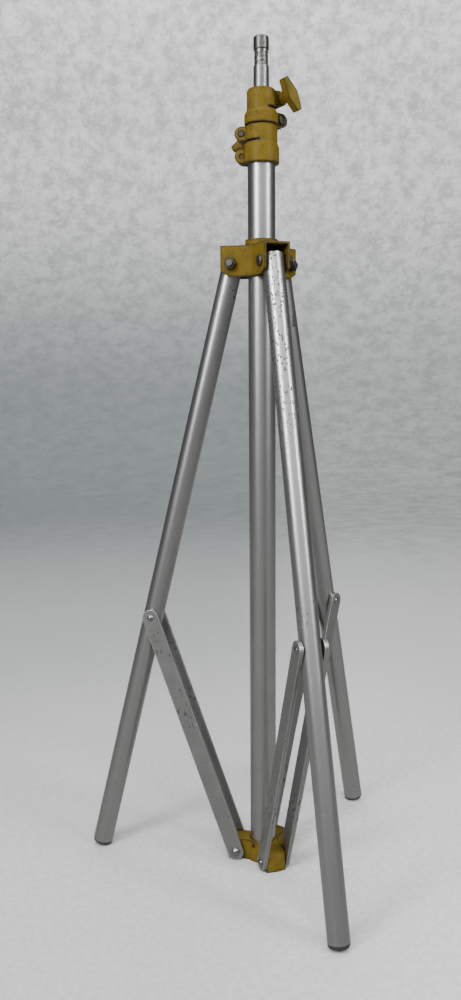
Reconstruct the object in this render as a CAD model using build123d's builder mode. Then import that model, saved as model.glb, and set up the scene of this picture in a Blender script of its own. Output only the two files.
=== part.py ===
"""A three-legged stand with a telescoping column, a sliding leg hub, a spider at the
column's foot, two split clamps with lozenge thumbscrews, and a 5/8 inch stud on top.

Millimetres, +Z up. The origin is on the column's axis, in the plane of the floor.
Leg 1 points along -Y, leg 2 is at 30 degrees and leg 3 at 150 degrees.
"""

import os
from math import asin, atan2, cos, degrees, hypot, pi, radians, sin

from build123d import *

# ---- tubes -----------------------------------------------------------------
column_od = 28.575  # 1 1/8 inch
middle_od = 25.4  # 1 inch
inner_od = 22.225  # 7/8 inch
leg_od = 22.225  # 7/8 inch
tube_wall = 1.47  # leg and inner tubes
slide_clearance = 0.09  # radial, between one tube and the tube it slides in
column_above_hub = 76.0  # bare column between the hub and the lower clamp
middle_foot_gap = 30.0  # middle tube's end above the column's
inner_foot_gap = 18.5  # inner tube's end above the middle tube's

# ---- leg linkage -----------------------------------------------------------
leg_azimuths = (-90.0, 30.0, 150.0)
leg_spread = 13.65  # degrees, leg to column, as it stands
leg_pivot_to_end = 666.0
leg_pivot_to_rivet = 390.5
leg_top_above_pivot = 6.3
base_pivot_radius = 29.5

# ---- fits ------------------------------------------------------------------
side_gap = 0.35  # between a flat bar or an ear and the piece it straddles
pocket_gap = 0.6  # between a leg and the hub's cheeks
leg_top_gap = 2.4  # between a leg's top and the hub's sleeve
floor_gap = 0.5  # under the brace bars
pin_clearance = 0.07  # radial, turning pins
leg_bolt_clearance = 0.07  # leg 1 on its hub bolt
open_pivot_clearance = 0.85  # legs 2 and 3 on their hub bolts
hub_slide_clearance = 0.6  # radial, hub on the column
clamp_clearance = 0.06  # radial, clamp jaws on the tube they grip
stack_gap = 0.3  # between the two clamps when the stand is down
knob_gap = 1.1  # between a knob's inner face and the clamp's foot
spot_face_gap = 0.5  # round a knob's neck and a screw head

# ---- brace bars and rivets ---------------------------------------------------
bar_width = 18.0
bar_thickness = 4.0
rivet_radius = 2.38  # 3/16 inch
leg_rivet_head_radius = 3.2
leg_rivet_head_height = 1.4
leg_rivet_flange_radius = 3.6
leg_rivet_flange_thickness = 0.4
base_rivet_head_radius = 4.3
base_rivet_head_height = 2.3
base_rivet_flange_radius = 5.4
base_rivet_flange_thickness = 0.6

# ---- foot caps ---------------------------------------------------------------
cap_reach = 5.2  # beyond the tube's end
cap_edge = 4.6  # rounding of the cap's rim
cap_plug_length = 15.0
cap_plug_wall = 2.4

# ---- base spider -------------------------------------------------------------
spider_height = 22.8
spider_floor = 3.0  # under the column
spider_core_wall = 3.7  # round the column
spider_nose_reach = 9.5  # beyond the rivets
spider_nose_bow = 1.5
spider_nose_radius = 9.6
spider_web_radius = 6.0
spider_rib_rise = 1.3  # hollow of the underside between core and nose
spider_foot_edge = 0.8
base_pin_radius = 1.6
base_pin_height = 18.6
base_pin_azimuth = -150.0
base_pin_proud = 0.3

# ---- hub ---------------------------------------------------------------------
hub_wall = 2.3
hub_top = 18.3  # above the leg pivots
hub_bottom = 13.1  # below the leg pivots
hub_lobe_reach = 10.7  # beyond the leg pivots
hub_bend_radius = 8.0
hub_collar_wall = 2.4
hub_collar_rise = 6.4
hub_corner_run = 9.5
hub_corner_rise = 5.0
hub_sleeve_wall = 1.2
hub_edge = 0.5

# ---- hub fasteners -----------------------------------------------------------
hub_bolt_radius = 3.175  # 1/4 inch
hub_bolt_head_radius = 5.8
hub_bolt_head_height = 2.8
hub_bolt_head_edge = 0.7
hub_bolt_end = 2.6  # past the nut
hub_nut_flats = 11.11  # 7/16 inch
hub_nut_thickness = 5.6
nut_sides = (1, -1, 1)  # +1 is the counter-clockwise cheek, seen from above

# ---- clamps ------------------------------------------------------------------
lower_clamp_azimuth = 148.0
lower_clamp_rise = 38.5  # its height
lower_clamp_slot = 21.8  # middle of the slot, above the clamp's foot
lower_clamp_foot_wall = 4.1
lower_clamp_neck_wall = 3.85
lower_bolt_height = 7.7
lower_screw_height = 29.8
lower_ear_offset = 5.2  # screw axis, outside the tube that the clamp sits on
upper_clamp_azimuth = 11.4
upper_clamp_rise = 34.8
upper_clamp_slot = 15.7
upper_clamp_foot_wall = 4.8
upper_clamp_neck_wall = 3.75
upper_bolt_height = 5.6
upper_screw_height = 27.4
upper_ear_offset = 7.5
clamp_slot_gap = 2.0
clamp_slot_back = 0.8  # how far the slot runs past the middle
clamp_split_gap = 2.0
clamp_flare = 5.0
clamp_top_chamfer = 2.2
clamp_edge = 0.6
ear_radius = 7.3
ear_half_width = 8.0
ear_edge = 0.8
clamp_bolt_radius = 2.38
clamp_bolt_head_radius = 5.1
clamp_bolt_head_height = 3.0
clamp_bolt_slot = 1.2
clamp_bolt_sunk = 1.0  # its end, inside the ear

# ---- thumbscrews ---------------------------------------------------------------
screw_radius = 3.175  # 1/4 inch
screw_end = 0.6  # past the far ear
knob_length = 34.6
knob_width = 13.4
knob_tip = 5.2
knob_thickness = 9.4
knob_edge = 0.6
knob_neck_radius = 6.2
knob_neck_waist = 5.5
screw_depth_in_knob = 13.0
lower_knob_turn = 64.0  # long axis, degrees outward from hanging straight down
upper_knob_turn = 31.3

# ---- stud ----------------------------------------------------------------------
stud_radius = 7.9375  # 5/8 inch
stud_rise = 51.0  # above the inner tube
stud_shank = 22.1
stud_head = 13.5
stud_groove_radius = 7.05
stud_groove_taper = 0.7
stud_chamfer = 1.2
stud_plug_length = 26.0
stud_pin_radius = 2.0
stud_pin_depth = 13.0  # below the tube's rim
stud_pin_short = 0.2
tube_rim_rise = 0.8  # inner tube above the upper clamp
tube_rim_edge = 0.4

# ---- places worked out from the sizes above ----------------------------------
inner_bore = inner_od / 2 - tube_wall
middle_bore = inner_od / 2 + slide_clearance
column_bore = middle_od / 2 + slide_clearance
leg_radius = leg_od / 2
leg_bore = leg_radius - tube_wall

hub_bore = column_od / 2 + hub_slide_clearance
hub_sleeve_radius = hub_bore + hub_sleeve_wall
hub_collar_radius = hub_bore + hub_collar_wall
spider_core_radius = column_od / 2 + spider_core_wall
spider_arm_width = leg_od
spider_reach = base_pivot_radius + spider_nose_reach

spread = radians(leg_spread)
leg_top_run = leg_radius * cos(spread) + leg_top_above_pivot * sin(spread)
hub_pivot_radius = hub_sleeve_radius + leg_top_gap + leg_top_run
hub_reach = hub_pivot_radius + hub_lobe_reach
base_pivot_height = bar_width / 2 + floor_gap
cap_drop = (cap_reach - cap_edge) * cos(spread) + (leg_radius - cap_edge) * sin(spread) + cap_edge
hub_pivot_height = cap_drop + leg_pivot_to_end * cos(spread)
leg_rivet_x = hub_pivot_radius + leg_pivot_to_rivet * sin(spread)
leg_rivet_z = hub_pivot_height - leg_pivot_to_rivet * cos(spread)
brace_run = leg_rivet_x - base_pivot_radius
brace_rise = leg_rivet_z - base_pivot_height
brace_length = hypot(brace_run, brace_rise)
brace_slope = degrees(atan2(brace_rise, brace_run))

lower_clamp_height = hub_pivot_height + hub_top + hub_collar_rise + column_above_hub
upper_clamp_height = lower_clamp_height + lower_clamp_rise + stack_gap
column_top = lower_clamp_height + lower_clamp_slot - clamp_slot_gap / 2
middle_top = upper_clamp_height + upper_clamp_slot - clamp_slot_gap / 2
inner_top = upper_clamp_height + upper_clamp_rise + tube_rim_rise
middle_foot = spider_floor + middle_foot_gap
inner_foot = middle_foot + inner_foot_gap

lower_clamp_foot_radius = column_od / 2 + lower_clamp_foot_wall
lower_clamp_neck_radius = middle_od / 2 + clamp_clearance + lower_clamp_neck_wall
upper_clamp_foot_radius = middle_od / 2 + upper_clamp_foot_wall
upper_clamp_neck_radius = inner_od / 2 + clamp_clearance + upper_clamp_neck_wall
lower_ear_x = column_od / 2 + lower_ear_offset
upper_ear_x = middle_od / 2 + upper_ear_offset

bar_inner_face = leg_radius + side_gap
bar_outer_face = bar_inner_face + bar_thickness
pocket_half_width = leg_radius + pocket_gap
lobe_half_width = pocket_half_width + hub_wall

os.makedirs("parts", exist_ok=True)


def outward(azimuth):
    """Horizontal direction away from the column."""
    return Vector(cos(radians(azimuth)), sin(radians(azimuth)), 0)


def side_plane(azimuth, height=0.0):
    """Upright plane through the column's axis: x runs outward, y runs up."""
    away = outward(azimuth)
    return Plane(origin=(0, 0, height), x_dir=away, z_dir=away.cross(Vector(0, 0, 1)))


def across_plane(azimuth, radius, height):
    """Plane with its x along the crosswise axis of a leg's pins and its y upward."""
    away = outward(azimuth)
    crosswise = Vector(0, 0, 1).cross(away)
    return Plane(origin=away * radius + Vector(0, 0, height), x_dir=crosswise, z_dir=away)


def leg_plane(azimuth):
    """Plane at a leg's hub pivot with its z up along the leg."""
    away = outward(azimuth)
    up_the_leg = away * -sin(spread) + Vector(0, 0, cos(spread))
    out_of_the_leg = away * cos(spread) + Vector(0, 0, sin(spread))
    pivot = away * hub_pivot_radius + Vector(0, 0, hub_pivot_height)
    return Plane(origin=pivot, x_dir=out_of_the_leg, z_dir=up_the_leg)


def domed_rivet(plane, grip, head_radius, head_height, flange_radius, flange_thickness):
    """A rivet along the plane's x axis with the same domed head at both ends."""
    half = grip / 2
    seat = half + flange_thickness
    tip = seat + head_height
    sphere_radius = (head_radius**2 + head_height**2) / (2 * head_height)
    half_angle = asin(head_radius / sphere_radius) / 2
    dome_x = tip - sphere_radius * (1 - cos(half_angle))
    dome_y = sphere_radius * sin(half_angle)
    with BuildPart() as rivet:
        with BuildSketch(plane):
            with BuildLine():
                Polyline(
                    (-seat, head_radius),
                    (-seat, flange_radius),
                    (-half, flange_radius),
                    (-half, rivet_radius),
                    (half, rivet_radius),
                    (half, flange_radius),
                    (seat, flange_radius),
                    (seat, head_radius),
                )
                ThreePointArc((seat, head_radius), (dome_x, dome_y), (tip, 0))
                Line((tip, 0), (-tip, 0))
                ThreePointArc((-tip, 0), (-dome_x, dome_y), (-seat, head_radius))
            make_face()
        revolve(axis=Axis(plane.origin, plane.x_dir))
    return rivet


def split_clamp(plane, rise, slot, foot, neck, ear_x, bolt_height, screw_height):
    """A clamp that sits on one tube and grips the next, with two pairs of ears along
    the plane's x. A slot parts the two grips, and a split runs down through the ears.
    foot and neck are (outer radius, bore) of the two grips."""
    side = Plane(origin=plane.origin, x_dir=plane.x_dir, z_dir=-plane.y_dir)
    foot_radius, foot_bore = foot
    neck_radius, neck_bore = neck
    slot_low = slot - clamp_slot_gap / 2
    ear_places = ((0, ear_half_width - ear_edge, 0), (ear_half_width - ear_edge, ear_edge, 45))
    spot_faces = (
        (bolt_height, clamp_bolt_head_radius + spot_face_gap),
        (screw_height, knob_neck_radius + spot_face_gap),
    )
    with BuildPart() as clamp:
        for start, thickness, taper in ear_places:
            with BuildSketch(side.offset(start)):
                for height in (bolt_height, screw_height):
                    with Locations((ear_x, height)):
                        Circle(ear_radius)
                    with Locations((ear_x / 2, height)):
                        Rectangle(ear_x, 2 * ear_radius)
                with Locations((ear_x, -ear_radius)):
                    Rectangle(4 * ear_x, 2 * ear_radius, mode=Mode.SUBTRACT)
            extrude(amount=thickness, taper=taper)
        mirror(about=side)
        with BuildSketch(side):
            with BuildLine():
                Polyline(
                    (0, 0),
                    (foot_radius - clamp_edge, 0),
                    (foot_radius, clamp_edge),
                    (foot_radius, slot_low - clamp_flare),
                    (neck_radius, slot_low),
                    (neck_radius, rise - clamp_top_chamfer),
                    (neck_radius - clamp_top_chamfer * 0.6, rise),
                    (0, rise),
                    close=True,
                )
            make_face()
        revolve(axis=Axis(plane.origin, plane.z_dir))
        for height, radius in spot_faces:
            with BuildSketch(side.offset(ear_half_width)):
                with Locations((ear_x, height)):
                    Circle(radius)
            extrude(amount=2 * foot_radius, mode=Mode.SUBTRACT)
        with BuildSketch(plane):
            Circle(foot_bore)
        extrude(amount=slot, mode=Mode.SUBTRACT)
        with BuildSketch(plane):
            Circle(neck_bore)
        extrude(amount=rise, mode=Mode.SUBTRACT)
        with BuildSketch(side):
            with Locations((foot_radius, rise / 2)):
                Rectangle(2 * foot_radius, 2 * rise)
        extrude(amount=clamp_split_gap / 2, both=True, mode=Mode.SUBTRACT)
        slot_length = 2 * foot_radius + clamp_slot_back
        with BuildSketch(plane.offset(slot_low)):
            with Locations((slot_length / 2 - clamp_slot_back, 0)):
                Rectangle(slot_length, 3 * foot_radius)
        extrude(amount=clamp_slot_gap, mode=Mode.SUBTRACT)
        with BuildSketch(side):
            with Locations((ear_x, bolt_height)):
                Circle(clamp_bolt_radius)
            with Locations((ear_x, screw_height)):
                Circle(screw_radius + pin_clearance)
        extrude(amount=2 * ear_half_width, both=True, mode=Mode.SUBTRACT)
    return clamp


def clamp_bolt(plane, ear_x, bolt_height):
    """Slotted screw through a clamp's lower ears, its head on the side of the knob."""
    side = Plane(origin=plane.origin, x_dir=plane.x_dir, z_dir=-plane.y_dir)
    seat = side.offset(ear_half_width)
    slot_plane = side.offset(ear_half_width + clamp_bolt_head_height)
    with BuildPart() as bolt:
        with BuildSketch(seat):
            with Locations((ear_x, bolt_height)):
                Circle(clamp_bolt_head_radius)
        extrude(amount=clamp_bolt_head_height)
        rim = edges().filter_by(GeomType.CIRCLE).sort_by(Axis(seat.origin, seat.z_dir))[-1]
        fillet(rim, clamp_bolt_head_height * 0.4)
        with BuildSketch(seat):
            with Locations((ear_x, bolt_height)):
                Circle(clamp_bolt_radius)
        extrude(amount=-(2 * ear_half_width - clamp_bolt_sunk))
        with BuildSketch(slot_plane):
            with Locations((ear_x, bolt_height)):
                Rectangle(clamp_bolt_slot, 3 * clamp_bolt_head_radius)
        extrude(amount=-clamp_bolt_slot, mode=Mode.SUBTRACT)
    return bolt


def knob_plane(plane, ear_x, screw_height, turn):
    """Plane in the middle of a clamp's ears, its z toward the knob and its y along it."""
    toward_knob = -plane.y_dir
    along_knob = plane.x_dir * sin(radians(turn)) - plane.z_dir * cos(radians(turn))
    middle = plane.origin + plane.x_dir * ear_x + plane.z_dir * screw_height
    return Plane(origin=middle, x_dir=along_knob.cross(toward_knob), z_dir=toward_knob)


def lozenge_knob(plane, inner_face):
    """Cast lozenge on a waisted neck, with a blind hole for its screw."""
    neck_foot = ear_half_width + side_gap
    with BuildPart() as knob:
        with BuildSketch(plane.offset(inner_face)):
            Polygon(
                (knob_width / 2, 0),
                (knob_tip / 2, knob_length / 2),
                (-knob_tip / 2, knob_length / 2),
                (-knob_width / 2, 0),
                (-knob_tip / 2, -knob_length / 2),
                (knob_tip / 2, -knob_length / 2),
            )
        extrude(amount=knob_thickness)
        chamfer(edges(), knob_edge)
        with BuildSketch(plane.offset(neck_foot)):
            Circle(knob_neck_radius)
        with BuildSketch(plane.offset(inner_face + knob_edge)):
            Circle(knob_neck_waist)
        loft()
        with BuildSketch(plane.offset(neck_foot)):
            Circle(screw_radius)
        extrude(amount=screw_depth_in_knob, mode=Mode.SUBTRACT)
    return knob


def knob_screw(plane):
    """Threaded rod of a thumbscrew, from inside the knob to just past the far ear."""
    back = ear_half_width + side_gap + screw_depth_in_knob
    with BuildPart() as screw:
        with BuildSketch(plane.offset(back)):
            Circle(screw_radius)
        extrude(amount=-(back + ear_half_width + screw_end))
        tip = edges().filter_by(GeomType.CIRCLE).sort_by(Axis(plane.origin, plane.z_dir))[0]
        chamfer(tip, screw_end)
    return screw


# ---- telescoping tubes ---------------------------------------------------------
with BuildPart() as column_tube:
    with BuildSketch(Plane.XY.offset(spider_floor)):
        Circle(column_od / 2)
        Circle(column_bore, mode=Mode.SUBTRACT)
    extrude(amount=column_top - spider_floor)
column_tube.part.label = "column_tube"
export_step(column_tube.part, "parts/column_tube.step")

with BuildPart() as middle_tube:
    with BuildSketch(Plane.XY.offset(middle_foot)):
        Circle(middle_od / 2)
        Circle(middle_bore, mode=Mode.SUBTRACT)
    extrude(amount=middle_top - middle_foot)
middle_tube.part.label = "middle_tube"
export_step(middle_tube.part, "parts/middle_tube.step")

stud_pin_plane = Plane.XZ.offset(-inner_od)
stud_pin_z = inner_top - stud_pin_depth
with BuildPart() as inner_tube:
    with BuildSketch(Plane.XY.offset(inner_foot)):
        Circle(inner_od / 2)
        Circle(inner_bore, mode=Mode.SUBTRACT)
    extrude(amount=inner_top - inner_foot)
    chamfer(edges().sort_by(Axis.Z)[-2:], tube_rim_edge)
    with BuildSketch(stud_pin_plane):
        with Locations((0, stud_pin_z)):
            Circle(stud_pin_radius)
    extrude(amount=2 * inner_od, mode=Mode.SUBTRACT)
inner_tube.part.label = "inner_tube"
export_step(inner_tube.part, "parts/inner_tube.step")

# ---- stud and its cross pin ------------------------------------------------------
stud_top = inner_top + stud_rise
groove_low = inner_top + stud_shank
groove_high = stud_top - stud_head
with BuildPart() as stud:
    with BuildSketch(Plane.XZ):
        with BuildLine():
            Polyline(
                (0, inner_top - stud_plug_length),
                (inner_bore, inner_top - stud_plug_length),
                (inner_bore, inner_top - tube_rim_edge),
                (stud_radius, inner_top - tube_rim_edge),
                (stud_radius, groove_low),
                (stud_groove_radius, groove_low + stud_groove_taper),
                (stud_groove_radius, groove_high),
                (stud_radius, groove_high + stud_groove_taper),
                (stud_radius, stud_top - stud_chamfer),
                (stud_radius - stud_chamfer, stud_top),
                (0, stud_top),
                close=True,
            )
        make_face()
    revolve(axis=Axis.Z)
    with BuildSketch(stud_pin_plane):
        with Locations((0, stud_pin_z)):
            Circle(stud_pin_radius)
    extrude(amount=2 * inner_od, mode=Mode.SUBTRACT)
stud.part.label = "stud"
export_step(stud.part, "parts/stud.step")

stud_pin_length = inner_od - 2 * stud_pin_short
with BuildPart() as stud_pin:
    with BuildSketch(Plane.XZ):
        with Locations((0, stud_pin_z)):
            Circle(stud_pin_radius)
    extrude(amount=stud_pin_length / 2, both=True)
stud_pin.part.label = "stud_pin"
export_step(stud_pin.part, "parts/stud_pin.step")

# ---- base spider ---------------------------------------------------------------
base_pin_plane = Plane(origin=(0, 0, base_pin_height), z_dir=outward(base_pin_azimuth))
nose_corner = spider_reach - spider_nose_bow
with BuildSketch() as spider_arm:
    with BuildLine():
        Polyline(
            (nose_corner, -spider_arm_width / 2),
            (0, -spider_arm_width / 2),
            (0, spider_arm_width / 2),
            (nose_corner, spider_arm_width / 2),
        )
        ThreePointArc(
            (nose_corner, spider_arm_width / 2),
            (spider_reach, 0),
            (nose_corner, -spider_arm_width / 2),
        )
    make_face()

with BuildPart() as base_spider:
    with BuildSketch() as spider_plan:
        Circle(spider_core_radius)
        for azimuth in leg_azimuths:
            add(spider_arm.sketch, rotation=azimuth)
        webs = spider_plan.vertices().filter_by(lambda v: hypot(v.X, v.Y) < spider_core_radius + 1)
        fillet(webs, spider_web_radius)
    extrude(amount=spider_height)
    for azimuth in leg_azimuths:
        nose_top = spider_height - spider_nose_radius
        nose_back = spider_reach - spider_nose_radius
        on_curve = (
            nose_back + spider_nose_radius * cos(pi / 4),
            nose_top + spider_nose_radius * sin(pi / 4),
        )
        with BuildSketch(side_plane(azimuth)):
            with BuildLine():
                ThreePointArc((nose_back, spider_height), on_curve, (spider_reach, nose_top))
                Polyline(
                    (spider_reach, nose_top),
                    (spider_reach + 1, nose_top),
                    (spider_reach + 1, spider_height + 1),
                    (nose_back, spider_height + 1),
                    (nose_back, spider_height),
                )
            make_face()
        extrude(amount=spider_arm_width, both=True, mode=Mode.SUBTRACT)
        arch_end = spider_reach - spider_nose_radius / 2
        arch_middle = (spider_core_radius + arch_end) / 2
        with BuildSketch(side_plane(azimuth)):
            with BuildLine():
                ThreePointArc((spider_core_radius, 0), (arch_middle, spider_rib_rise), (arch_end, 0))
                Line((arch_end, 0), (spider_core_radius, 0))
            make_face()
        extrude(amount=spider_arm_width, both=True, mode=Mode.SUBTRACT)
        with BuildSketch(side_plane(azimuth)):
            with Locations((base_pivot_radius, base_pivot_height)):
                Circle(rivet_radius + pin_clearance)
        extrude(amount=spider_arm_width, both=True, mode=Mode.SUBTRACT)
    with BuildSketch(Plane.XY.offset(spider_floor)):
        Circle(column_od / 2)
    extrude(amount=spider_height, mode=Mode.SUBTRACT)
    with BuildSketch(base_pin_plane):
        Circle(base_pin_radius)
    extrude(amount=2 * spider_core_radius, mode=Mode.SUBTRACT)
base_spider.part.label = "base_spider"
export_step(base_spider.part, "parts/base_spider.step")

base_pin_start = column_od / 2
base_pin_length = spider_core_radius + base_pin_proud - base_pin_start
with BuildPart() as base_pin:
    with BuildSketch(base_pin_plane.offset(base_pin_start)):
        Circle(base_pin_radius)
    extrude(amount=base_pin_length)
base_pin.part.label = "base_pin"
export_step(base_pin.part, "parts/base_pin.step")

# ---- legs and foot caps ----------------------------------------------------------
for number, azimuth in enumerate(leg_azimuths, 1):
    axis_plane = leg_plane(azimuth)
    end_plane = axis_plane.offset(-leg_pivot_to_end)
    pin_plane = Plane(origin=axis_plane.origin, x_dir=axis_plane.x_dir, z_dir=-axis_plane.y_dir)
    pivot_clearance = leg_bolt_clearance if number == 1 else open_pivot_clearance
    with BuildPart() as leg_tube:
        with BuildSketch(end_plane):
            Circle(leg_radius)
            Circle(leg_bore, mode=Mode.SUBTRACT)
        extrude(amount=leg_pivot_to_end + leg_top_above_pivot)
        with BuildSketch(pin_plane):
            Circle(hub_bolt_radius + pivot_clearance)
            with Locations((0, -leg_pivot_to_rivet)):
                Circle(rivet_radius + pin_clearance)
        extrude(amount=leg_od, both=True, mode=Mode.SUBTRACT)
    leg_tube.part.label = f"leg_tube_{number}"
    export_step(leg_tube.part, f"parts/leg_tube_{number}.step")

    half_plane = Plane(origin=end_plane.origin, x_dir=end_plane.x_dir, z_dir=-end_plane.y_dir)
    rim_start = leg_radius - cap_edge
    rim_curve = (
        rim_start + cap_edge * cos(pi / 4),
        -cap_reach + cap_edge - cap_edge * sin(pi / 4),
    )
    with BuildPart() as foot_cap:
        with BuildSketch(half_plane):
            with BuildLine():
                Line((0, -cap_reach), (rim_start, -cap_reach))
                ThreePointArc((rim_start, -cap_reach), rim_curve, (leg_radius, cap_edge - cap_reach))
                Polyline(
                    (leg_radius, cap_edge - cap_reach),
                    (leg_radius, 0),
                    (leg_bore, 0),
                    (leg_bore, cap_plug_length),
                    (leg_bore - cap_plug_wall, cap_plug_length),
                    (leg_bore - cap_plug_wall, 0),
                    (0, 0),
                    (0, -cap_reach),
                )
            make_face()
        revolve(axis=Axis(end_plane.origin, end_plane.z_dir))
    foot_cap.part.label = f"foot_cap_{number}"
    export_step(foot_cap.part, f"parts/foot_cap_{number}.step")

# ---- braces: two flat bars each, with a rivet at either end ------------------------
for number, azimuth in enumerate(leg_azimuths, 1):
    for side_name, start in (("left", bar_inner_face), ("right", -bar_outer_face)):
        with BuildPart() as bar:
            with BuildSketch(side_plane(azimuth).offset(start)):
                with Locations((base_pivot_radius + brace_run / 2, base_pivot_height + brace_rise / 2)):
                    SlotCenterToCenter(brace_length, bar_width, rotation=brace_slope)
                with Locations((base_pivot_radius, base_pivot_height), (leg_rivet_x, leg_rivet_z)):
                    Circle(rivet_radius, mode=Mode.SUBTRACT)
            extrude(amount=bar_thickness)
        bar.part.label = f"brace_{number}_{side_name}_bar"
        export_step(bar.part, f"parts/brace_{number}_{side_name}_bar.step")

    leg_rivet = domed_rivet(
        across_plane(azimuth, leg_rivet_x, leg_rivet_z),
        2 * bar_outer_face,
        leg_rivet_head_radius,
        leg_rivet_head_height,
        leg_rivet_flange_radius,
        leg_rivet_flange_thickness,
    )
    leg_rivet.part.label = f"leg_rivet_{number}"
    export_step(leg_rivet.part, f"parts/leg_rivet_{number}.step")

    base_rivet = domed_rivet(
        across_plane(azimuth, base_pivot_radius, base_pivot_height),
        2 * bar_outer_face,
        base_rivet_head_radius,
        base_rivet_head_height,
        base_rivet_flange_radius,
        base_rivet_flange_thickness,
    )
    base_rivet.part.label = f"base_rivet_{number}"
    export_step(base_rivet.part, f"parts/base_rivet_{number}.step")

# ---- hub -------------------------------------------------------------------------
hub_low = hub_pivot_height - hub_bottom
hub_roof = hub_pivot_height + hub_top
with BuildPart() as hub_bracket:
    with BuildSketch(Plane.XY.offset(hub_low)) as hub_plan:
        for azimuth in leg_azimuths:
            with Locations(Pos(outward(azimuth) * hub_reach / 2) * Rot(0, 0, azimuth)):
                Rectangle(hub_reach, 2 * lobe_half_width)
        bends = hub_plan.vertices().filter_by(lambda v: hypot(v.X, v.Y) < hub_reach / 2)
        fillet(bends, hub_bend_radius)
    extrude(amount=hub_bottom + hub_top)
    with BuildSketch(Plane.XY.offset(hub_roof - hub_wall)):
        Circle(hub_collar_radius)
    extrude(amount=hub_wall + hub_collar_rise)
    chamfer(edges().sort_by(Axis.Z)[-1], hub_edge)
    for azimuth in leg_azimuths:
        with BuildSketch(Plane.XY.offset(hub_low)):
            with Locations(Pos(outward(azimuth) * hub_reach) * Rot(0, 0, azimuth)):
                Rectangle(2 * hub_reach, 2 * pocket_half_width)
            Circle(hub_sleeve_radius, mode=Mode.SUBTRACT)
            with Locations(Pos(outward(azimuth) * -hub_reach) * Rot(0, 0, azimuth)):
                Rectangle(2 * hub_reach, 2 * hub_reach, mode=Mode.SUBTRACT)
        extrude(amount=hub_bottom + hub_top - hub_wall, mode=Mode.SUBTRACT)
        with BuildSketch(side_plane(azimuth, hub_low)):
            with BuildLine():
                Polyline(
                    (hub_reach - hub_corner_run, 0),
                    (hub_reach, hub_corner_rise),
                    (hub_reach + 1, hub_corner_rise),
                    (hub_reach + 1, -1),
                    (hub_reach - hub_corner_run, -1),
                    close=True,
                )
            make_face()
        extrude(amount=2 * lobe_half_width, both=True, mode=Mode.SUBTRACT)
        with BuildSketch(side_plane(azimuth, hub_pivot_height)):
            with Locations((hub_pivot_radius, 0)):
                Circle(hub_bolt_radius)
        extrude(amount=2 * lobe_half_width, both=True, mode=Mode.SUBTRACT)
    with BuildSketch(Plane.XY.offset(hub_low)):
        Circle(hub_bore)
    extrude(amount=2 * (hub_bottom + hub_top), mode=Mode.SUBTRACT)
hub_bracket.part.label = "hub_bracket"
export_step(hub_bracket.part, "parts/hub_bracket.step")

# ---- hub bolts and nuts ------------------------------------------------------------
with BuildPart() as hub_bolts:
    for azimuth, nut_side in zip(leg_azimuths, nut_sides):
        crosswise = across_plane(azimuth, hub_pivot_radius, hub_pivot_height)
        toward_nut = crosswise.x_dir * nut_side
        head_plane = Plane(origin=crosswise.origin - toward_nut * lobe_half_width, z_dir=-toward_nut)
        head_shoulder = hub_bolt_head_height - hub_bolt_head_edge
        with BuildSketch(head_plane):
            Circle(hub_bolt_head_radius)
        extrude(amount=head_shoulder)
        with BuildSketch(head_plane.offset(head_shoulder)):
            Circle(hub_bolt_head_radius)
        extrude(amount=hub_bolt_head_edge, taper=45)
        with BuildSketch(head_plane):
            Circle(hub_bolt_radius)
        extrude(amount=-(2 * lobe_half_width + hub_nut_thickness + hub_bolt_end))
hub_bolts.part.label = "hub_bolts"
export_step(hub_bolts.part, "parts/hub_bolts.step")

with BuildPart() as hub_nuts:
    for azimuth, nut_side in zip(leg_azimuths, nut_sides):
        crosswise = across_plane(azimuth, hub_pivot_radius, hub_pivot_height)
        toward_nut = crosswise.x_dir * nut_side
        nut_plane = Plane(origin=crosswise.origin + toward_nut * lobe_half_width, z_dir=toward_nut)
        with BuildSketch(nut_plane):
            RegularPolygon(hub_nut_flats / 2, 6, major_radius=False)
            Circle(hub_bolt_radius, mode=Mode.SUBTRACT)
        extrude(amount=hub_nut_thickness)
hub_nuts.part.label = "hub_nuts"
export_step(hub_nuts.part, "parts/hub_nuts.step")

# ---- clamps and thumbscrews --------------------------------------------------------
lower_plane = Plane(origin=(0, 0, lower_clamp_height), x_dir=outward(lower_clamp_azimuth))
upper_plane = Plane(origin=(0, 0, upper_clamp_height), x_dir=outward(upper_clamp_azimuth))

lower_clamp = split_clamp(
    lower_plane,
    lower_clamp_rise,
    lower_clamp_slot,
    (lower_clamp_foot_radius, column_od / 2),
    (lower_clamp_neck_radius, middle_od / 2 + clamp_clearance),
    lower_ear_x,
    lower_bolt_height,
    lower_screw_height,
)
lower_clamp.part.label = "lower_clamp"
export_step(lower_clamp.part, "parts/lower_clamp.step")

upper_clamp = split_clamp(
    upper_plane,
    upper_clamp_rise,
    upper_clamp_slot,
    (upper_clamp_foot_radius, middle_od / 2),
    (upper_clamp_neck_radius, inner_od / 2 + clamp_clearance),
    upper_ear_x,
    upper_bolt_height,
    upper_screw_height,
)
upper_clamp.part.label = "upper_clamp"
export_step(upper_clamp.part, "parts/upper_clamp.step")

lower_bolt = clamp_bolt(lower_plane, lower_ear_x, lower_bolt_height)
lower_bolt.part.label = "lower_clamp_bolt"
export_step(lower_bolt.part, "parts/lower_clamp_bolt.step")

upper_bolt = clamp_bolt(upper_plane, upper_ear_x, upper_bolt_height)
upper_bolt.part.label = "upper_clamp_bolt"
export_step(upper_bolt.part, "parts/upper_clamp_bolt.step")

lower_knob_plane = knob_plane(lower_plane, lower_ear_x, lower_screw_height, lower_knob_turn)
lower_knob = lozenge_knob(lower_knob_plane, lower_clamp_foot_radius + knob_gap)
lower_knob.part.label = "lower_knob"
export_step(lower_knob.part, "parts/lower_knob.step")

lower_screw = knob_screw(lower_knob_plane)
lower_screw.part.label = "lower_knob_screw"
export_step(lower_screw.part, "parts/lower_knob_screw.step")

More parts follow.
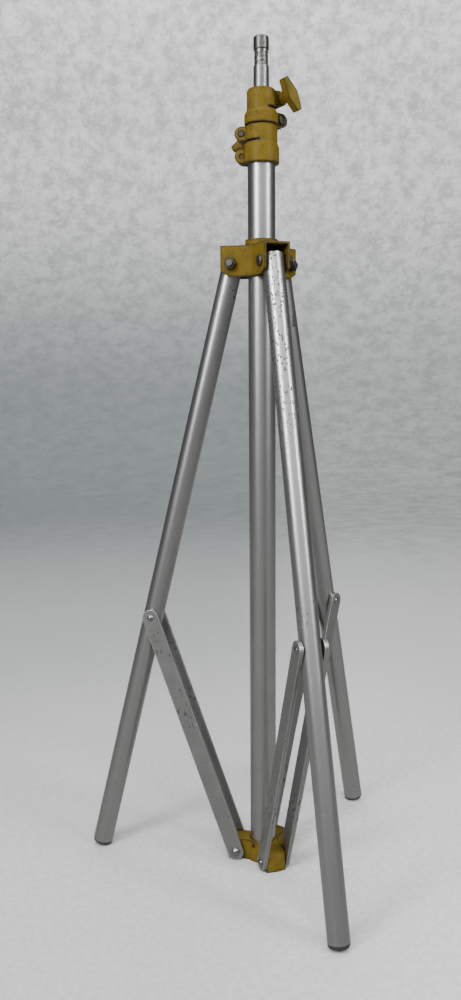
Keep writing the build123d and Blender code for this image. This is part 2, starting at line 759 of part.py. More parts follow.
upper_knob_plane = knob_plane(upper_plane, upper_ear_x, upper_screw_height, upper_knob_turn)
upper_knob = lozenge_knob(upper_knob_plane, upper_clamp_foot_radius + knob_gap)
upper_knob.part.label = "upper_knob"
export_step(upper_knob.part, "parts/upper_knob.step")

upper_screw = knob_screw(upper_knob_plane)
upper_screw.part.label = "upper_knob_screw"
export_step(upper_screw.part, "parts/upper_knob_screw.step")

print("hub pivot", round(hub_pivot_radius, 3), round(hub_pivot_height, 3))
print("leg rivet", round(leg_rivet_x, 3), round(leg_rivet_z, 3))
print("clamps", round(lower_clamp_height, 3), round(upper_clamp_height, 3))
print("tube tops", round(column_top, 3), round(middle_top, 3), round(inner_top, 3))
print("ears", round(lower_ear_x, 3), round(upper_ear_x, 3))
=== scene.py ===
"""Looks of the telescoping tripod stand: worn aluminium tubes and bars, chipped ochre castings,
dull fasteners and scuffed foot caps, on a mottled paper sweep under soft studio light."""

import math

import bpy
from mathutils import Matrix, Vector


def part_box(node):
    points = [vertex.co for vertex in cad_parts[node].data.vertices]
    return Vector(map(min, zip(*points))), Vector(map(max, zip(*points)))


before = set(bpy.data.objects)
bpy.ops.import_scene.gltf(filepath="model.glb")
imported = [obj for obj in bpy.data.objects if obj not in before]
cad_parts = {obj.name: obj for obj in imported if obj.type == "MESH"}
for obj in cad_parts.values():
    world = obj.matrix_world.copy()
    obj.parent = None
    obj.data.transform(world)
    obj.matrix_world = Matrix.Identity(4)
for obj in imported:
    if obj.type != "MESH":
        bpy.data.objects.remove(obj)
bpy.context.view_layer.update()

# ---- the camera, and the directions that the lighting is laid out from ----------
CAMERA_AZIMUTH = -22.19  # degrees round from -Y
CAMERA_DISTANCE = 0.9928
CAMERA_HEIGHT = 0.5301
CAMERA_TURN = 1.984  # degrees, to the left of the column
CAMERA_TILT = 7.132  # degrees, downward
CAMERA_ROLL = -0.406
CAMERA_LENS = 33.366

LEG_AZIMUTHS = {1: -90.0, 2: 30.0, 3: 150.0}
LEG_SPREAD = 13.65
BRACE_LEAN = 19.33

toward_camera = Vector(
    (math.sin(math.radians(CAMERA_AZIMUTH)), -math.cos(math.radians(CAMERA_AZIMUTH)), 0.0)
)
camera_left = Vector((toward_camera.y, -toward_camera.x, 0.0))


# ---- building node materials -----------------------------------------------------
def new_material(name):
    """A material with an empty tree, its Principled shader and the tree."""
    material = bpy.data.materials.new(name)
    material.use_nodes = True
    tree = material.node_tree
    tree.nodes.clear()
    output = tree.nodes.new("ShaderNodeOutputMaterial")
    shader = tree.nodes.new("ShaderNodeBsdfPrincipled")
    tree.links.new(shader.outputs["BSDF"], output.inputs["Surface"])
    return material, tree, shader


def plug(tree, socket, value):
    """Links a socket into another, or sets it to a plain value."""
    if isinstance(value, bpy.types.NodeSocket):
        tree.links.new(value, socket)
    else:
        socket.default_value = value


def math_node(tree, operation, first, second=0.0, third=0.0):
    made = tree.nodes.new("ShaderNodeMath")
    made.operation = operation
    for index, value in enumerate((first, second, third)):
        plug(tree, made.inputs[index], value)
    return made.outputs[0]


def steps(tree, value, low, high):
    """0 below low, 1 above high, smooth between. Runs the other way if low is above high."""
    made = tree.nodes.new("ShaderNodeMapRange")
    made.interpolation_type = "SMOOTHSTEP"
    flipped = low > high
    plug(tree, made.inputs["Value"], value)
    made.inputs["From Min"].default_value = min(low, high)
    made.inputs["From Max"].default_value = max(low, high)
    made.inputs["To Min"].default_value = 1.0 if flipped else 0.0
    made.inputs["To Max"].default_value = 0.0 if flipped else 1.0
    return made.outputs["Result"]


def spread_between(tree, value, low, high):
    """Maps 0..1 to low..high."""
    made = tree.nodes.new("ShaderNodeMapRange")
    plug(tree, made.inputs["Value"], value)
    made.inputs["To Min"].default_value = low
    made.inputs["To Max"].default_value = high
    return made.outputs["Result"]


def blend_colors(tree, share, first, second):
    made = tree.nodes.new("ShaderNodeMix")
    made.data_type = "RGBA"
    plug(tree, made.inputs[0], share)
    plug(tree, made.inputs[6], first)
    plug(tree, made.inputs[7], second)
    return made.outputs[2]


def blend_values(tree, share, first, second):
    made = tree.nodes.new("ShaderNodeMix")
    plug(tree, made.inputs[0], share)
    plug(tree, made.inputs[2], first)
    plug(tree, made.inputs[3], second)
    return made.outputs[0]


def place(tree, direction=(0, 0, 1), scale=(1, 1, 1), shift=(0, 0, 0)):
    """Row-frame coordinates turned so that z runs along direction, then stretched."""
    coords = tree.nodes.new("ShaderNodeTexCoord")
    turned = tree.nodes.new("ShaderNodeMapping")
    turn = Vector(direction).rotation_difference(Vector((0, 0, 1))).to_euler()
    turned.inputs["Rotation"].default_value = turn
    turned.inputs["Location"].default_value = shift
    tree.links.new(coords.outputs["Object"], turned.inputs["Vector"])
    stretched = tree.nodes.new("ShaderNodeMapping")
    stretched.inputs["Scale"].default_value = scale
    tree.links.new(turned.outputs["Vector"], stretched.inputs["Vector"])
    return stretched.outputs["Vector"]


def noise(tree, vector, scale, detail=4.0, roughness=0.55):
    made = tree.nodes.new("ShaderNodeTexNoise")
    tree.links.new(vector, made.inputs["Vector"])
    made.inputs["Scale"].default_value = scale
    made.inputs["Detail"].default_value = detail
    made.inputs["Roughness"].default_value = roughness
    return made.outputs["Fac"]


def cells(tree, vector, scale, feature="F1"):
    """Voronoi distance, and a random grey per cell."""
    made = tree.nodes.new("ShaderNodeTexVoronoi")
    made.feature = feature
    tree.links.new(vector, made.inputs["Vector"])
    made.inputs["Scale"].default_value = scale
    if feature == "DISTANCE_TO_EDGE":
        return made.outputs["Distance"], None
    split = tree.nodes.new("ShaderNodeSeparateColor")
    tree.links.new(made.outputs["Color"], split.inputs["Color"])
    return made.outputs["Distance"], split.outputs["Red"]


def specks(tree, vector, scale, size, share):
    """Small spots in a share of the cells, 1 inside a spot."""
    distance, grey = cells(tree, vector, scale)
    spot = steps(tree, distance, size, size * 0.55)
    chosen = steps(tree, grey, 1.0 - share, 1.0 - share + 0.02)
    return math_node(tree, "MULTIPLY", spot, chosen)


def scratches(tree, direction, along, across, shift, width):
    """Hairlines that run roughly along the piece, broken up by noise."""
    vector = place(tree, direction, (across, across, along), shift)
    distance, _ = cells(tree, vector, 1.0, "DISTANCE_TO_EDGE")
    line = steps(tree, distance, width, width * 0.3)
    gaps = noise(tree, place(tree, direction, (1, 1, 1), shift), 55.0, 3.0)
    return math_node(tree, "MULTIPLY", line, steps(tree, gaps, 0.52, 0.62))


def edge_wear(tree, radius):
    """1 on convex and concave edges sharper than radius, 0 on open faces."""
    bevel = tree.nodes.new("ShaderNodeBevel")
    bevel.samples = 6
    bevel.inputs["Radius"].default_value = radius
    geometry = tree.nodes.new("ShaderNodeNewGeometry")
    dot = tree.nodes.new("ShaderNodeVectorMath")
    dot.operation = "DOT_PRODUCT"
    tree.links.new(bevel.outputs["Normal"], dot.inputs[0])
    tree.links.new(geometry.outputs["Normal"], dot.inputs[1])
    return steps(tree, dot.outputs["Value"], 0.99, 0.94)


def corners(tree, distance):
    """1 in recesses closer together than distance, from ambient occlusion: the mask of the painted shade in
    corners.
    """
    occlusion = tree.nodes.new("ShaderNodeAmbientOcclusion")
    occlusion.samples = 6
    occlusion.inputs["Distance"].default_value = distance
    return steps(tree, occlusion.outputs["AO"], 0.85, 0.35)


def bump(tree, shader, edge_radius, layers):
    """Rounds the edges, then stacks (height, strength, distance) layers in the normal."""
    bevel = tree.nodes.new("ShaderNodeBevel")
    bevel.samples = 4
    bevel.inputs["Radius"].default_value = edge_radius
    previous = bevel.outputs["Normal"]
    for height, strength, distance in layers:
        made = tree.nodes.new("ShaderNodeBump")
        made.inputs["Strength"].default_value = strength
        made.inputs["Distance"].default_value = distance
        tree.links.new(height, made.inputs["Height"])
        tree.links.new(previous, made.inputs["Normal"])
        previous = made.outputs["Normal"]
    tree.links.new(previous, shader.inputs["Normal"])


# ---- metals ------------------------------------------------------------------------
def tube_material(name, direction, pitting, pit_top=None, dents=None, patch=None):
    """Drawn aluminium with fine lengthwise lines, oxide clouds, pits and hairline scratches.
    pitting is the share of cells that hold a pit, raised near the height pit_top.
    dents is the (low, high) heights of a band of dark scuffs, and patch is the (low, high)
    corners of a dark patch."""
    material, tree, shader = new_material(name)
    plain = place(tree, direction)
    seed = tuple(0.37 * (i + 1) * len(name) for i in range(3))
    drawn = noise(tree, place(tree, direction, (1, 1, 0.012), seed), 1400.0, 3.0)
    broad = noise(tree, place(tree, direction, (1, 1, 0.18), seed), 60.0, 3.0)
    clouds = noise(tree, place(tree, direction, (1, 1, 0.6), seed), 38.0, 6.0, 0.65)
    grain = noise(tree, plain, 900.0, 3.0, 0.7)
    oxide = steps(tree, clouds, 0.50, 0.72)

    pits = specks(tree, place(tree, direction, (1, 1, 0.7), seed), 300.0, 0.20, pitting)
    fine = specks(tree, place(tree, direction, (1, 1, 1), seed), 700.0, 0.26, pitting * 1.5)
    clusters = steps(tree, noise(tree, plain, 24.0, 2.0), 0.50, 0.62)
    dark = math_node(tree, "MULTIPLY", math_node(tree, "MAXIMUM", pits, fine), clusters)
    if pit_top is not None:
        position = tree.nodes.new("ShaderNodeSeparateXYZ")
        tree.links.new(place(tree), position.inputs["Vector"])
        near_top = steps(tree, position.outputs["Z"], pit_top - 0.24, pit_top - 0.12)
        heavy = specks(tree, place(tree, direction, (1, 1, 0.7), seed), 400.0, 0.50, 0.60)
        breakup = steps(tree, noise(tree, plain, 110.0, 3.0), 0.36, 0.44)
        heavy = math_node(tree, "MULTIPLY", math_node(tree, "MULTIPLY", heavy, near_top), breakup)
        dark = math_node(tree, "MAXIMUM", dark, heavy)
    if dents is not None:
        low, high = dents
        band = box_mask(tree, (-1, -1, low), (1, 1, high))
        torn = steps(tree, noise(tree, place(tree, direction, (1, 1, 0.5)), 420.0, 4.0, 0.6), 0.60, 0.66)
        dark = math_node(tree, "MAXIMUM", dark, math_node(tree, "MULTIPLY", band, torn))
    if patch is not None:
        dark = math_node(tree, "MAXIMUM", dark, box_mask(tree, *patch))
    lines = scratches(tree, direction, 9.0, 210.0, seed, 0.05)

    color = blend_colors(tree, broad, (0.46, 0.457, 0.455, 1), (0.54, 0.537, 0.532, 1))
    color = blend_colors(tree, math_node(tree, "MULTIPLY", oxide, 0.30), color, (0.33, 0.325, 0.31, 1))
    color = blend_colors(tree, math_node(tree, "MULTIPLY", lines, 0.25), color, (0.62, 0.62, 0.63, 1))
    color = blend_colors(tree, math_node(tree, "MULTIPLY", dark, 0.92), color, (0.035, 0.032, 0.028, 1))
    plug(tree, shader.inputs["Base Color"], color)
    plug(tree, shader.inputs["Metallic"], spread_between(tree, dark, 1.0, 0.4))
    rough = spread_between(tree, drawn, 0.31, 0.37)
    rough = math_node(tree, "ADD", rough, math_node(tree, "MULTIPLY", oxide, 0.05))
    rough = math_node(tree, "ADD", rough, math_node(tree, "MULTIPLY", dark, 0.3))
    plug(tree, shader.inputs["Roughness"], rough)
    hollow = math_node(tree, "MULTIPLY", dark, -1.0)
    bump(
        tree,
        shader,
        0.0004,
        ((drawn, 0.05, 0.00002), (grain, 0.08, 0.00003), (hollow, 0.6, 0.00010), (lines, 0.20, 0.00002)),
    )
    return material


def box_mask(tree, low, high):
    """1 inside an upright box in the row frame, with ragged edges."""
    position = tree.nodes.new("ShaderNodeSeparateXYZ")
    ragged = tree.nodes.new("ShaderNodeVectorMath")
    ragged.operation = "ADD"
    wobble = noise(tree, place(tree), 420.0, 3.0)
    shifted = spread_between(tree, wobble, -0.0016, 0.0016)
    joined = tree.nodes.new("ShaderNodeCombineXYZ")
    for axis in "XYZ":
        tree.links.new(shifted, joined.inputs[axis])
    tree.links.new(place(tree), ragged.inputs[0])
    tree.links.new(joined.outputs["Vector"], ragged.inputs[1])
    tree.links.new(ragged.outputs["Vector"], position.inputs["Vector"])
    inside = None
    for axis, start, end in zip("XYZ", low, high):
        above = steps(tree, position.outputs[axis], start, start + 0.0004)
        below = steps(tree, position.outputs[axis], end, end - 0.0004)
        both = math_node(tree, "MULTIPLY", above, below)
        inside = both if inside is None else math_node(tree, "MULTIPLY", inside, both)
    return inside


def bar_material(name, direction, gouges=()):
    """Dull rolled aluminium bar with dents, scuffs, brighter edges (worn metal with a painted highlight) and
    painted shade in the corners.
    gouges are the (low, high) heights of the stretches with dark gouges."""
    material, tree, shader = new_material(name)
    seed = tuple(0.21 * (i + 2) * len(name) for i in range(3))
    plain = place(tree, direction)
    rolled = noise(tree, place(tree, direction, (1, 1, 0.05), seed), 700.0, 4.0)
    clouds = noise(tree, place(tree, direction, (1, 1, 0.5), seed), 60.0, 6.0, 0.7)
    dents = noise(tree, plain, 240.0, 4.0, 0.6)
    scuffs = scratches(tree, direction, 22.0, 160.0, seed, 0.06)
    pits = specks(tree, place(tree, direction, (1, 1, 0.6), seed), 330.0, 0.26, 0.20)
    pits = math_node(tree, "MULTIPLY", pits, steps(tree, noise(tree, plain, 35.0, 3.0), 0.46, 0.58))
    for low, high in gouges:
        band = box_mask(tree, (-1, -1, low), (1, 1, high))
        torn = steps(tree, noise(tree, place(tree, direction, (1, 1, 0.45)), 330.0, 3.0, 0.6), 0.56, 0.62)
        pits = math_node(tree, "MAXIMUM", pits, math_node(tree, "MULTIPLY", band, torn))
    # brighter edges: worn metal, and a painted highlight along the edges
    worn = math_node(tree, "MULTIPLY", edge_wear(tree, 0.0016), 0.75)
    # painted shade in the corners and recesses
    recess_shade = math_node(tree, "MULTIPLY", corners(tree, 0.0025), 0.75)
    color = blend_colors(tree, clouds, (0.30, 0.30, 0.298, 1), (0.43, 0.43, 0.425, 1))
    color = blend_colors(tree, worn, color, (0.78, 0.78, 0.76, 1))
    color = blend_colors(tree, recess_shade, color, (0.05, 0.047, 0.042, 1))
    color = blend_colors(tree, math_node(tree, "MULTIPLY", scuffs, 0.4), color, (0.45, 0.45, 0.45, 1))
    color = blend_colors(tree, math_node(tree, "MULTIPLY", pits, 0.85), color, (0.05, 0.045, 0.04, 1))
    plug(tree, shader.inputs["Base Color"], color)
    plug(tree, shader.inputs["Metallic"], spread_between(tree, pits, 0.95, 0.4))
    plug(tree, shader.inputs["Roughness"], spread_between(tree, clouds, 0.34, 0.52))
    hollow = math_node(tree, "MULTIPLY", pits, -1.0)
    bump(
        tree,
        shader,
        0.0006,
        ((rolled, 0.10, 0.00004), (dents, 0.20, 0.00010), (hollow, 0.7, 0.00012), (scuffs, 0.3, 0.00004)),
    )
    return material


def paint_material(name):
    """Ochre paint on a rough casting: orange peel, chipped edges and painted shade in the corners."""
    material, tree, shader = new_material(name)
    plain = place(tree)
    peel = noise(tree, plain, 520.0, 3.0)
    cast = noise(tree, plain, 150.0, 4.0)
    patches = noise(tree, plain, 70.0, 5.0, 0.6)
    ragged = noise(tree, plain, 310.0, 5.0, 0.7)
    edges = edge_wear(tree, 0.0032)
    edge_chips = math_node(tree, "MULTIPLY", edges, steps(tree, ragged, 0.34, 0.48))
    spots = specks(tree, place(tree, (0, 0, 1), (1, 1, 1), (0.3, 0.1, 0.7)), 280.0, 0.30, 0.16)
    spots = math_node(tree, "MULTIPLY", spots, steps(tree, patches, 0.44, 0.54))
    chips = math_node(tree, "MAXIMUM", edge_chips, spots)
    # painted shade in the corners and recesses, varied by the patches
    recess_shade = math_node(tree, "MULTIPLY", corners(tree, 0.009), spread_between(tree, patches, 0.6, 1.0))
    smears = steps(tree, noise(tree, plain, 95.0, 6.0, 0.7), 0.46, 0.66)
    color = blend_colors(tree, patches, (0.126, 0.082, 0.008, 1), (0.176, 0.115, 0.012, 1))
    color = blend_colors(tree, math_node(tree, "MULTIPLY", smears, 0.6), color, (0.080, 0.060, 0.012, 1))
    color = blend_colors(tree, math_node(tree, "MULTIPLY", recess_shade, 0.85), color, (0.035, 0.025, 0.010, 1))
    color = blend_colors(tree, math_node(tree, "MULTIPLY", chips, 0.95), color, (0.030, 0.025, 0.018, 1))
    plug(tree, shader.inputs["Base Color"], color)
    plug(tree, shader.inputs["Metallic"], math_node(tree, "MULTIPLY", chips, 0.4))
    plug(tree, shader.inputs["Roughness"], spread_between(tree, smears, 0.40, 0.62))
    shader.inputs["Specular IOR Level"].default_value = 0.10
    sunk = math_node(tree, "MULTIPLY", chips, -1.0)
    bump(
        tree,
        shader,
        0.0007,
        ((cast, 0.16, 0.00030), (peel, 0.10, 0.00012), (sunk, 0.8, 0.00014)),
    )
    return material


def steel_material(name, light, dark, rough, blot_share, knurl=None, stained=None):
    """Dull steel with dirt blots and painted shade in the recesses. knurl is the (low, high) heights of a
    band of fine knurling, and stained those of a band with heavy dark stains."""
    material, tree, shader = new_material(name)
    plain = place(tree)
    clouds = noise(tree, plain, 220.0, 5.0, 0.65)
    grain = noise(tree, plain, 1500.0, 3.0)
    turned = noise(tree, place(tree, (0, 0, 1), (0.02, 0.02, 1)), 2600.0, 3.0)
    blots = steps(tree, noise(tree, plain, 420.0, 5.0, 0.7), 0.56, 0.68)
    # painted shade in the recesses, such as the ring round the rivet heads, joined below with the dirt blots
    # and stains
    recess_shade = math_node(tree, "MULTIPLY", corners(tree, 0.004), 0.9)
    dirt_and_shade = math_node(tree, "MAXIMUM", recess_shade, math_node(tree, "MULTIPLY", blots, blot_share))
    if stained is not None:
        band = box_mask(tree, (-1, -1, stained[0]), (1, 1, stained[1]))
        stains = steps(tree, noise(tree, place(tree, (0, 0, 1), (1, 1, 1.6)), 300.0, 5.0, 0.7), 0.44, 0.54)
        dirt_and_shade = math_node(tree, "MAXIMUM", dirt_and_shade, math_node(tree, "MULTIPLY", band, stains))
    color = blend_colors(tree, clouds, dark, light)
    if knurl is not None:
        band = box_mask(tree, (-1, -1, knurl[0]), (1, 1, knurl[1]))
        color = blend_colors(tree, math_node(tree, "MULTIPLY", band, 0.65), color, (0.07, 0.067, 0.065, 1))
    color = blend_colors(tree, dirt_and_shade, color, (0.045, 0.04, 0.032, 1))
    plug(tree, shader.inputs["Base Color"], color)
    plug(tree, shader.inputs["Metallic"], spread_between(tree, dirt_and_shade, 1.0, 0.35))
    plug(tree, shader.inputs["Roughness"], spread_between(tree, clouds, rough, rough + 0.14))
    layers = [(grain, 0.12, 0.00006), (turned, 0.10, 0.00005)]
    if knurl is not None:
        position = tree.nodes.new("ShaderNodeSeparateXYZ")
        tree.links.new(place(tree), position.inputs["Vector"])
        above = steps(tree, position.outputs["Z"], knurl[0], knurl[0] + 0.0008)
        below = steps(tree, position.outputs["Z"], knurl[1], knurl[1] - 0.0008)
        rough_band = noise(tree, place(tree, (0, 0, 1), (1, 1, 0.5)), 900.0, 2.0)
        band = math_node(tree, "MULTIPLY", math_node(tree, "MULTIPLY", above, below), rough_band)
        layers.append((band, 0.6, 0.0003))
    bump(tree, shader, 0.0004, layers)
    return material


def cap_material(name, dark, pale):
    """Worn dark plastic, scuffed pale where it meets the floor."""
    material, tree, shader = new_material(name)
    plain = place(tree)
    scuffed = noise(tree, place(tree, (0, 0, 1), (1, 1, 2.0)), 260.0, 5.0, 0.7)
    fine = noise(tree, plain, 1100.0, 3.0)
    dust = steps(tree, scuffed, 0.50, 0.70)
    worn = math_node(tree, "MAXIMUM", math_node(tree, "MULTIPLY", dust, 0.5), edge_wear(tree, 0.0006))
    color = blend_colors(tree, worn, dark, pale)
    plug(tree, shader.inputs["Base Color"], color)
    plug(tree, shader.inputs["Roughness"], spread_between(tree, scuffed, 0.48, 0.75))
    bump(tree, shader, 0.0006, ((scuffed, 0.25, 0.0002), (fine, 0.15, 0.00008)))
    return material


# ---- painting the pieces --------------------------------------------------------------
def outward(azimuth):
    return Vector((math.cos(math.radians(azimuth)), math.sin(math.radians(azimuth)), 0.0))


def lean(azimuth, angle, sign):
    """Direction up a member that leans by angle toward (sign +1) or away from the leg's foot."""
    tilt = math.radians(angle)
    return outward(azimuth) * math.sin(tilt) * sign + Vector((0, 0, math.cos(tilt)))


def paint(node, material):
    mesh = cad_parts[node].data
    mesh.materials.clear()
    mesh.materials.append(material)


LEG_DENTS = {1: (0.290, 0.322), 2: (0.612, 0.630), 3: (0.618, 0.632)}
LEG_PATCH = {2: ((0.040, -0.010, 0.591), (0.060, 0.0185, 0.609))}
upright = Vector((0, 0, 1))
paint("column_tube", tube_material("column_aluminium", upright, 0.10))
paint("middle_tube", tube_material("middle_aluminium", upright, 0.06))
paint("inner_tube", tube_material("inner_aluminium", upright, 0.06))
for number, azimuth in LEG_AZIMUTHS.items():
    up_leg = lean(azimuth, LEG_SPREAD, -1)
    leg_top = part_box(f"leg_tube_{number}")[1].z
    pit_top = leg_top if number == 1 else None
    leg_metal = tube_material(
        f"leg_aluminium_{number}", up_leg, 0.22, pit_top, LEG_DENTS[number], LEG_PATCH.get(number)
    )
    paint(f"leg_tube_{number}", leg_metal)
    for side in ("left", "right"):
        gouges = ((0.150, 0.196), (0.232, 0.262)) if number == 3 else ((0.060, 0.100),)
        bar_metal = bar_material(f"bar_aluminium_{number}_{side}", lean(azimuth, BRACE_LEAN, 1), gouges)
        paint(f"brace_{number}_{side}_bar", bar_metal)

ochre = paint_material("ochre_paint")
for node in ("base_spider", "hub_bracket", "lower_clamp", "upper_clamp", "lower_knob", "upper_knob"):
    paint(node, ochre)

bolt_steel = steel_material("bolt_steel", (0.20, 0.20, 0.19, 1), (0.075, 0.072, 0.06, 1), 0.40, 0.7)
dark_steel = steel_material("dark_steel", (0.095, 0.088, 0.070, 1), (0.035, 0.032, 0.025, 1), 0.46, 0.8)
rivet_steel = steel_material("rivet_steel", (0.46, 0.46, 0.47, 1), (0.24, 0.24, 0.24, 1), 0.20, 0.35)
paint("hub_bolts", bolt_steel)
for node in ("hub_nuts", "upper_clamp_bolt", "base_pin", "lower_knob_screw", "upper_knob_screw", "stud_pin"):
    paint(node, dark_steel)
paint("lower_clamp_bolt", ochre)
for number in LEG_AZIMUTHS:
    paint(f"leg_rivet_{number}", rivet_steel)
    paint(f"base_rivet_{number}", rivet_steel)

stud_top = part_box("stud")[1].z
stud_steel = steel_material(
    "stud_steel", (0.40, 0.395, 0.39, 1), (0.15, 0.148, 0.145, 1), 0.32, 0.85,
    (stud_top - 0.0135, stud_top - 0.0005), (stud_top - 0.029, stud_top - 0.0125),
)
paint("stud", stud_steel)

cap_plastic = cap_material("cap_plastic", (0.026, 0.025, 0.023, 1), (0.085, 0.08, 0.072, 1))
scuffed_plastic = cap_material("scuffed_plastic", (0.040, 0.039, 0.036, 1), (0.20, 0.195, 0.185, 1))
paint("foot_cap_1", cap_plastic)
paint("foot_cap_2", scuffed_plastic)
paint("foot_cap_3", scuffed_plastic)


# ---- the paper sweep --------------------------------------------------------------------
def paper_material(name, tone):
    """Mottled paper: fine grain on the floor near the stand, broad clouds on the wall, and painted shade:
    a grey band where the two meet, a floor that darkens away from the stand, and a darker left side."""
    material, tree, shader = new_material(name)
    fine = noise(tree, place(tree), 150.0, 5.0, 0.7)
    coarse = noise(tree, place(tree), 11.0, 6.0, 0.8)
    broad = noise(tree, place(tree), 3.5, 4.0)
    marks = specks(tree, place(tree), 34.0, 0.10, 0.06)
    position = tree.nodes.new("ShaderNodeSeparateXYZ")
    tree.links.new(place(tree), position.inputs["Vector"])
    reach = tree.nodes.new("ShaderNodeVectorMath")
    reach.operation = "LENGTH"
    tree.links.new(place(tree), reach.inputs[0])
    side = tree.nodes.new("ShaderNodeVectorMath")
    side.operation = "DOT_PRODUCT"
    side.inputs[1].default_value = camera_left
    tree.links.new(place(tree), side.inputs[0])
    far = steps(tree, reach.outputs["Value"], 0.8, 3.0)
    near = steps(tree, reach.outputs["Value"], 0.2, 1.0)
    low = steps(tree, position.outputs["Z"], 2.3, 0.3)
    left = steps(tree, side.outputs["Value"], -0.20, 0.12)
    # painted shade: darker away from the stand and on the left, only low down
    shade = 0.0
    for mask, strength in ((far, 0.34), (near, 0.31), (left, 0.22)):
        part = math_node(tree, "MULTIPLY", math_node(tree, "MULTIPLY", mask, low), strength)
        shade = math_node(tree, "ADD", shade, part)
    mottled = blend_values(tree, far, steps(tree, fine, 0.30, 0.70), steps(tree, coarse, 0.36, 0.62))
    light = blend_values(tree, far, 0.80, 0.56)
    tinted = tuple(tone) + (1,)
    dimmed = tree.nodes.new("ShaderNodeVectorMath")
    dimmed.operation = "SCALE"
    dimmed.inputs[0].default_value = tone
    tree.links.new(light, dimmed.inputs["Scale"])
    color = blend_colors(tree, mottled, dimmed.outputs["Vector"], tinted)
    color = blend_colors(tree, math_node(tree, "MULTIPLY", broad, 0.22), color, (0.50, 0.515, 0.52, 1))
    color = blend_colors(tree, shade, color, (0.15, 0.175, 0.18, 1))
    color = blend_colors(tree, math_node(tree, "MULTIPLY", marks, 0.30), color, (0.30, 0.29, 0.27, 1))
    plug(tree, shader.inputs["Base Color"], color)
    plug(tree, shader.inputs["Roughness"], spread_between(tree, mottled, 0.75, 0.9))
    bump(tree, shader, 0.001, ((mottled, 0.15, 0.002),))
    return material


def sweep(name, profile, material, slices):
    """A bowl of paper: the (radius, height) profile turned once round the stand."""
    points = []
    faces = []
    for i in range(slices + 1):
        angle = math.radians(360 * i / slices)
        points += [(r * math.cos(angle), r * math.sin(angle), z) for r, z in profile]
    count = len(profile)
    for i in range(slices):
        for j in range(count - 1):
            corner = i * count + j
            faces.append((corner, corner + count, corner + count + 1, corner + 1))
    mesh = bpy.data.meshes.new(name)
    mesh.from_pydata(points, [], faces)
    mesh.shade_smooth()
    mesh.materials.append(material)
    made = bpy.data.objects.new(name, mesh)
    bpy.context.scene.collection.objects.link(made)
    return made


CENTRE_RADIUS = 0.0005  # a hole too small to see, so that every face has four corners
FLOOR_RADIUS = 3.4
CURVE_RADIUS = 2.4
CURVE_STEPS = 12
WALL_HEIGHT = 6.0
flat_floor = [(radius, 0.0) for radius in (CENTRE_RADIUS, 0.25, 0.62, 1.4)]
curve = []
for step in range(CURVE_STEPS + 1):
    bend = math.radians(step * 90 / CURVE_STEPS)
    curve.append((FLOOR_RADIUS + CURVE_RADIUS * math.sin(bend), CURVE_RADIUS * (1 - math.cos(bend))))
wall_top = (FLOOR_RADIUS + CURVE_RADIUS, WALL_HEIGHT)
paper = paper_material("paper", (0.84, 0.84, 0.83))
paper_sweep = sweep("paper_sweep", flat_floor + curve + [wall_top], paper, 96)
paper_sweep.visible_glossy = False


# ---- light --------------------------------------------------------------------------------
def soft_light(name, turn, height_angle, distance, width, height, power, aim=(0, 0, 0.5)):
    """An area light, turn degrees to the camera's left of the camera and raised by height_angle."""
    level = toward_camera * math.cos(math.radians(turn)) + camera_left * math.sin(math.radians(turn))
    rise = math.radians(height_angle)
    spot = Vector(aim) + (level * math.cos(rise) + Vector((0, 0, math.sin(rise)))) * distance
    data = bpy.data.lights.new(name, "AREA")
    data.shape = "RECTANGLE"
    data.size = width
    data.size_y = height
    data.energy = power
    lamp = bpy.data.objects.new(name, data)
    lamp.location = spot
    lamp.rotation_euler = (Vector(aim) - spot).to_track_quat("-Z", "Y").to_euler()
    lamp.visible_camera = False
    bpy.context.scene.collection.objects.link(lamp)
    return lamp


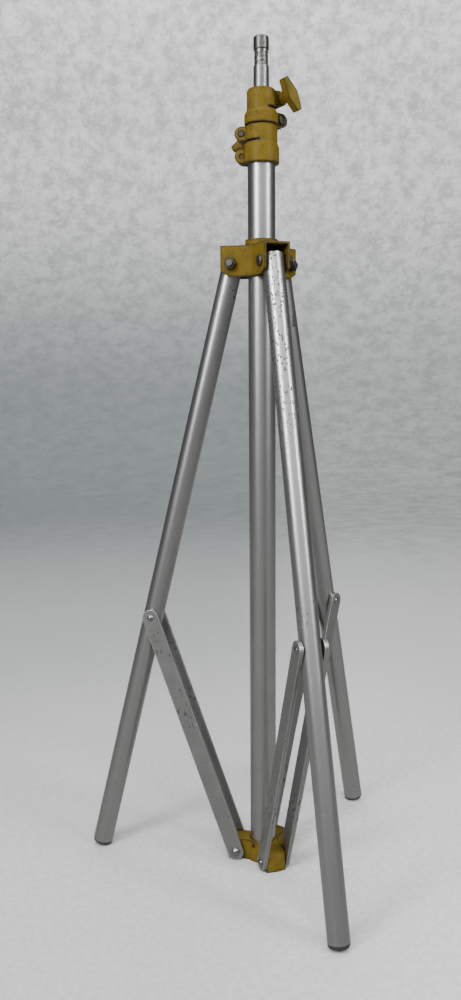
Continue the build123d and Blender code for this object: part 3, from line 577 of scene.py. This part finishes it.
soft_light("left_window", 42, 26, 3.0, 0.8, 1.5, 66)
soft_light("right_window", -57, 26, 3.0, 0.55, 1.5, 46)
soft_light("ceiling_front", 5, 52, 3.0, 2.2, 1.0, 50)
soft_light("ceiling", 0, 89, 3.4, 3.0, 3.0, 40)
wall_middle = Vector((0, 0, 2.8))
for name, turn, power in (("wall_wash", 0, 235), ("back_wash", 180, 130)):
    wall_side = toward_camera * (5.6 if turn else -5.6)
    wash = soft_light(name, turn, 55, 3.2, 6.0, 1.2, power, wall_side + wall_middle)
    wash.visible_glossy = False

world = bpy.data.worlds.new("room")
bpy.context.scene.world = world
world.use_nodes = True
room = world.node_tree
room.nodes.clear()
room_output = room.nodes.new("ShaderNodeOutputWorld")
room_light = room.nodes.new("ShaderNodeBackground")
room_coords = room.nodes.new("ShaderNodeTexCoord")
room_split = room.nodes.new("ShaderNodeSeparateXYZ")
facing = room.nodes.new("ShaderNodeVectorMath")
facing.operation = "DOT_PRODUCT"
facing.inputs[1].default_value = toward_camera
room.links.new(room_coords.outputs["Generated"], facing.inputs[0])
room.links.new(room_coords.outputs["Generated"], room_split.inputs["Vector"])
height = room_split.outputs["Z"]
in_front = steps(room, facing.outputs["Value"], 0.35, 0.95)
glow = math_node(room, "MULTIPLY", in_front, steps(room, height, 0.0, 0.26))
behind = steps(room, facing.outputs["Value"], -0.88, -0.97)
below = steps(room, height, 0.0, -0.30)
room_tone = blend_colors(room, below, (0.075, 0.077, 0.08, 1), (0.36, 0.36, 0.352, 1))
room_tone = blend_colors(room, behind, room_tone, (0.30, 0.31, 0.31, 1))
room_tone = blend_colors(room, glow, room_tone, (0.95, 0.96, 0.98, 1))
room.links.new(room_tone, room_light.inputs["Color"])
room_light.inputs["Strength"].default_value = 1.0
room.links.new(room_light.outputs["Background"], room_output.inputs["Surface"])

# ---- camera -------------------------------------------------------------------------------
camera_data = bpy.data.cameras.new("camera")
camera_data.lens = CAMERA_LENS
camera_data.sensor_width = 36.0
camera_data.clip_start = 0.05
camera = bpy.data.objects.new("camera", camera_data)
bpy.context.scene.collection.objects.link(camera)
spot = toward_camera * CAMERA_DISTANCE + Vector((0, 0, CAMERA_HEIGHT))
camera.matrix_world = (
    Matrix.Translation(spot)
    @ Matrix.Rotation(math.radians(CAMERA_AZIMUTH + CAMERA_TURN), 4, "Z")
    @ Matrix.Rotation(math.radians(90.0 - CAMERA_TILT), 4, "X")
    @ Matrix.Rotation(math.radians(CAMERA_ROLL), 4, "Z")
)
bpy.context.scene.camera = camera
